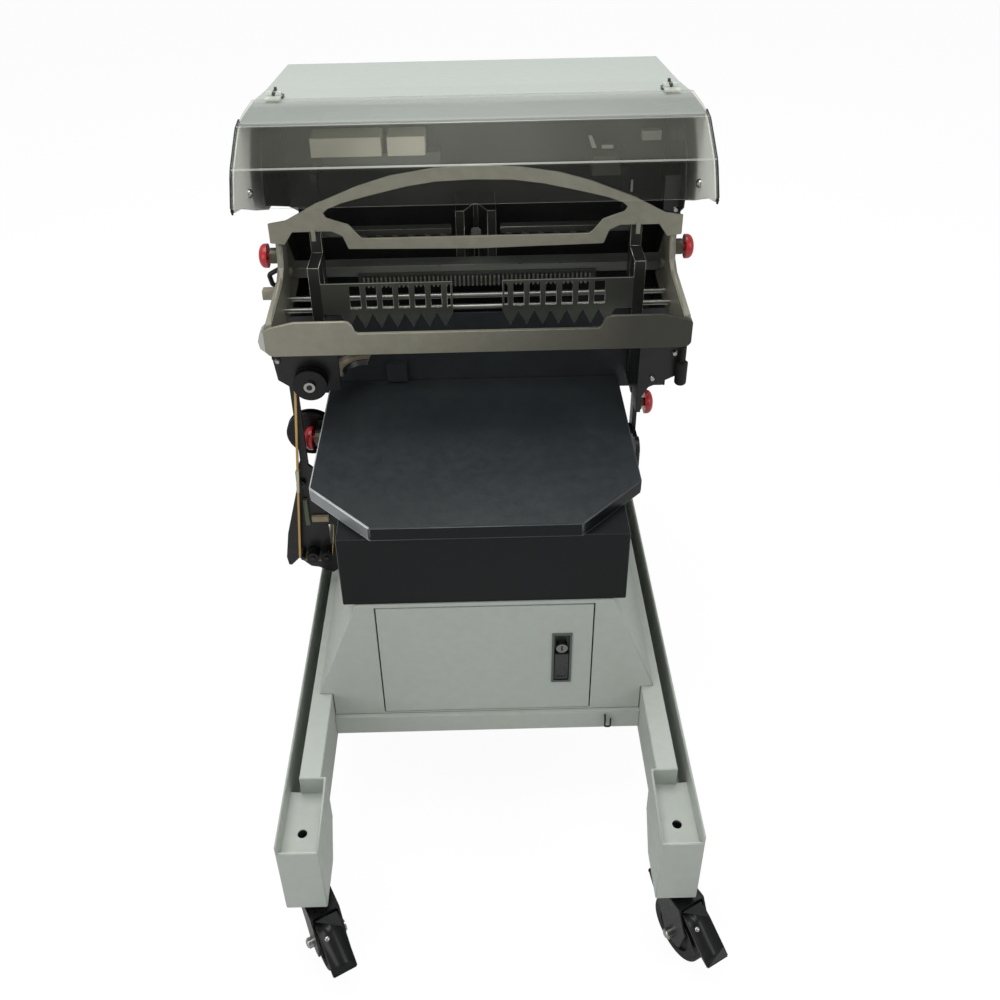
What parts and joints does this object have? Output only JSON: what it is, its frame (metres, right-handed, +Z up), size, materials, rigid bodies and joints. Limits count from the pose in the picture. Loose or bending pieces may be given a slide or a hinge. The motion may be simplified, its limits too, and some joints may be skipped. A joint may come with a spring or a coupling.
{
  "type": "bag clipping machine",
  "caption": "Mobile bag neck clipping machine: wheeled channel frame, flared cabinet, bevelled shelf, comb jaws and a clear-fronted hood.",
  "frame": {"origin": "centre of the footprint on the floor", "axes": "+Z up, -Y towards the operator, +X to the operator's right"},
  "size_m": [0.711, 1.1747, 1.106],
  "materials": {
    "frame_paint": "satin",
    "hood_paint": "satin",
    "table_paint": "fine matt",
    "black_paint": "matt",
    "zinc_plate": "bead blasted",
    "carriage_metal": "dark",
    "bright_steel": "polished",
    "window_acrylic": "clear",
    "red_plastic": "gloss",
    "collar_metal": "satin",
    "black_plastic": "satin",
    "wheel_rubber": "matt",
    "tape_brown": "satin",
    "latch_grey": "satin",
    "chute_metal": "satin",
    "beige_board": "matt"
  },
  "bodies": {
    "machine": {"arch_plate": "zinc_plate", "back_wall": "table_paint", "beige_plates": "beige_board", "bracket_screws": "bright_steel", "button_cable": "black_plastic", "button_collars": "collar_metal", "cabinet": "frame_paint", "cable_hook": "bright_steel", "clip_head": "black_paint", "control_box": "table_paint", "cross_beam": "frame_paint", "fine_comb": "carriage_metal", "front_rail": "zinc_plate", "guide_rods": "bright_steel", "hood": "hood_paint", "hood_bolts": "bright_steel", "inner_wall": "black_paint", "left_bracket": "black_paint", "left_leg": "frame_paint", "left_side_plate": "black_paint", "left_throat_plate": "zinc_plate", "right_bracket": "black_paint", "right_leg": "frame_paint", "right_side_plate": "black_paint", "right_throat_plate": "zinc_plate", "rubber_buffer": "wheel_rubber", "side_arm": "black_paint", "table_top": "table_paint", "tie_chute": "chute_metal", "tie_tape": "tape_brown", "upper_beam": "black_paint", "wall_block": "table_paint", "window_hinges": "bright_steel"},
    "door": {"cabinet_door": "frame_paint", "door_latch": "latch_grey"},
    "paddle": {"latch_paddle": "latch_grey"},
    "window": {"window": "window_acrylic"},
    "left_jaw": {"left_carriage": "carriage_metal"},
    "right_jaw": {"right_carriage": "carriage_metal"},
    "ram": {"clip_ram": "carriage_metal"},
    "reel": {"tie_reel": "black_plastic"},
    "pulley": {"guide_pulley": "black_plastic"},
    "roller_front": {"front_roller": "black_plastic"},
    "roller_rear": {"rear_roller": "black_plastic"},
    "lever": {"tension_lever": "black_paint"},
    "left_upper_press": {"left_upper_button": "red_plastic"},
    "right_upper_press": {"right_upper_button": "red_plastic"},
    "left_lower_press": {"left_lower_button": "red_plastic"},
    "right_lower_press": {"right_lower_button": "red_plastic"},
    "front_left_fork": {"front_left_caster_fork": "black_plastic"},
    "front_left_wheel": {"front_left_caster_wheel": "wheel_rubber"},
    "front_left_brake": {"front_left_caster_brake": "black_plastic"},
    "front_right_fork": {"front_right_caster_fork": "black_plastic"},
    "front_right_wheel": {"front_right_caster_wheel": "wheel_rubber"},
    "front_right_brake": {"front_right_caster_brake": "black_plastic"},
    "rear_left_fork": {"rear_left_caster_fork": "black_plastic"},
    "rear_left_wheel": {"rear_left_caster_wheel": "wheel_rubber"},
    "rear_right_fork": {"rear_right_caster_fork": "black_plastic"},
    "rear_right_wheel": {"rear_right_caster_wheel": "wheel_rubber"}
  },
  "joints": [
    {"name": "front_left_swivel", "type": "hinge", "parent": "machine", "child": "front_left_fork", "pos_m": [-0.27, -0.472, 0.138], "axis": [0, 0, 1], "continuous": true},
    {"name": "front_left_wheel_spin", "type": "hinge", "parent": "front_left_fork", "child": "front_left_wheel", "pos_m": [-0.25122, -0.50732, 0.05], "axis": [0.8829, 0.4695, 0], "continuous": true},
    {"name": "front_left_brake_press", "type": "hinge", "parent": "front_left_fork", "child": "front_left_brake", "pos_m": [-0.24653, -0.51615, 0.111], "axis": [0.8829, 0.4695, 0], "range_deg": [0, 8]},
    {"name": "front_right_swivel", "type": "hinge", "parent": "machine", "child": "front_right_fork", "pos_m": [0.27, -0.472, 0.138], "axis": [0, 0, 1], "continuous": true},
    {"name": "front_right_wheel_spin", "type": "hinge", "parent": "front_right_fork", "child": "front_right_wheel", "pos_m": [0.28878, -0.50732, 0.05], "axis": [0.8829, 0.4695, 0], "continuous": true},
    {"name": "front_right_brake_press", "type": "hinge", "parent": "front_right_fork", "child": "front_right_brake", "pos_m": [0.29347, -0.51615, 0.111], "axis": [0.8829, 0.4695, 0], "range_deg": [0, 8]},
    {"name": "rear_left_swivel", "type": "hinge", "parent": "machine", "child": "rear_left_fork", "pos_m": [-0.27, 0.502, 0.138], "axis": [0, 0, 1], "continuous": true},
    {"name": "rear_left_wheel_spin", "type": "hinge", "parent": "rear_left_fork", "child": "rear_left_wheel", "pos_m": [-0.25122, 0.46668, 0.05], "axis": [0.8829, 0.4695, 0], "continuous": true},
    {"name": "rear_right_swivel", "type": "hinge", "parent": "machine", "child": "rear_right_fork", "pos_m": [0.27, 0.502, 0.138], "axis": [0, 0, 1], "continuous": true},
    {"name": "rear_right_wheel_spin", "type": "hinge", "parent": "rear_right_fork", "child": "rear_right_wheel", "pos_m": [0.28878, 0.46668, 0.05], "axis": [0.8829, 0.4695, 0], "continuous": true},
    {"name": "door_hinge", "type": "hinge", "parent": "machine", "child": "door", "pos_m": [-0.158, -0.24, 0.355], "axis": [0, 0, -1], "range_deg": [0, 100]},
    {"name": "latch_pull", "type": "hinge", "parent": "door", "child": "paddle", "pos_m": [0.1185, -0.244, 0.361], "axis": [-1, 0, 0], "range_deg": [0, 35], "stiffness_Nm_per_rad": 0.02, "springref_deg": -17.19},
    {"name": "window_hinge", "type": "hinge", "parent": "machine", "child": "window", "pos_m": [0, 0.253, 1.1], "axis": [-1, 0, 0], "range_deg": [0, 100]},
    {"name": "left_jaw_slide", "type": "slide", "parent": "machine", "child": "left_jaw", "axis": [1, 0, 0], "range_m": [0, 0.036]},
    {"name": "right_jaw_slide", "type": "slide", "parent": "machine", "child": "right_jaw", "axis": [-1, 0, 0], "range_m": [0, 0.036]},
    {"name": "ram_slide", "type": "slide", "parent": "machine", "child": "ram", "axis": [0, -1, 0], "range_m": [0, 0.02]},
    {"name": "reel_spin", "type": "hinge", "parent": "machine", "child": "reel", "pos_m": [-0.29, 0.081, 0.572], "axis": [0, 1, 0], "continuous": true},
    {"name": "pulley_spin", "type": "hinge", "parent": "machine", "child": "pulley", "pos_m": [-0.268, 0.0105, 0.712], "axis": [0, 1, 0], "continuous": true},
    {"name": "front_roller_spin", "type": "hinge", "parent": "machine", "child": "roller_front", "pos_m": [-0.303, 0.012, 0.352], "axis": [0, 1, 0], "continuous": true},
    {"name": "rear_roller_spin", "type": "hinge", "parent": "machine", "child": "roller_rear", "pos_m": [-0.279, 0.012, 0.352], "axis": [0, 1, 0], "continuous": true},
    {"name": "lever_swing", "type": "hinge", "parent": "machine", "child": "lever", "pos_m": [-0.308, 0.018, 0.505], "axis": [0, 1, 0], "range_deg": [0, 12], "stiffness_Nm_per_rad": 0.5},
    {"name": "left_upper_button_press", "type": "slide", "parent": "machine", "child": "left_upper_press", "axis": [1, 0, 0], "range_m": [0, 0.004], "stiffness_N_per_m": 400},
    {"name": "right_upper_button_press", "type": "slide", "parent": "machine", "child": "right_upper_press", "axis": [-1, 0, 0], "range_m": [0, 0.004], "stiffness_N_per_m": 400},
    {"name": "left_lower_button_press", "type": "slide", "parent": "machine", "child": "left_lower_press", "axis": [1, 0, 0], "range_m": [0, 0.004], "stiffness_N_per_m": 400},
    {"name": "right_lower_button_press", "type": "slide", "parent": "machine", "child": "right_lower_press", "axis": [-1, 0, 0], "range_m": [0, 0.004], "stiffness_N_per_m": 400}
  ],
  "couplings": [
    {"joint": "right_jaw_slide", "follows": "left_jaw_slide", "ratio": 1},
    {"joint": "pulley_spin", "follows": "reel_spin", "ratio": 1.533},
    {"joint": "front_roller_spin", "follows": "reel_spin", "ratio": 3.59},
    {"joint": "rear_roller_spin", "follows": "reel_spin", "ratio": 3.59}
  ]
}
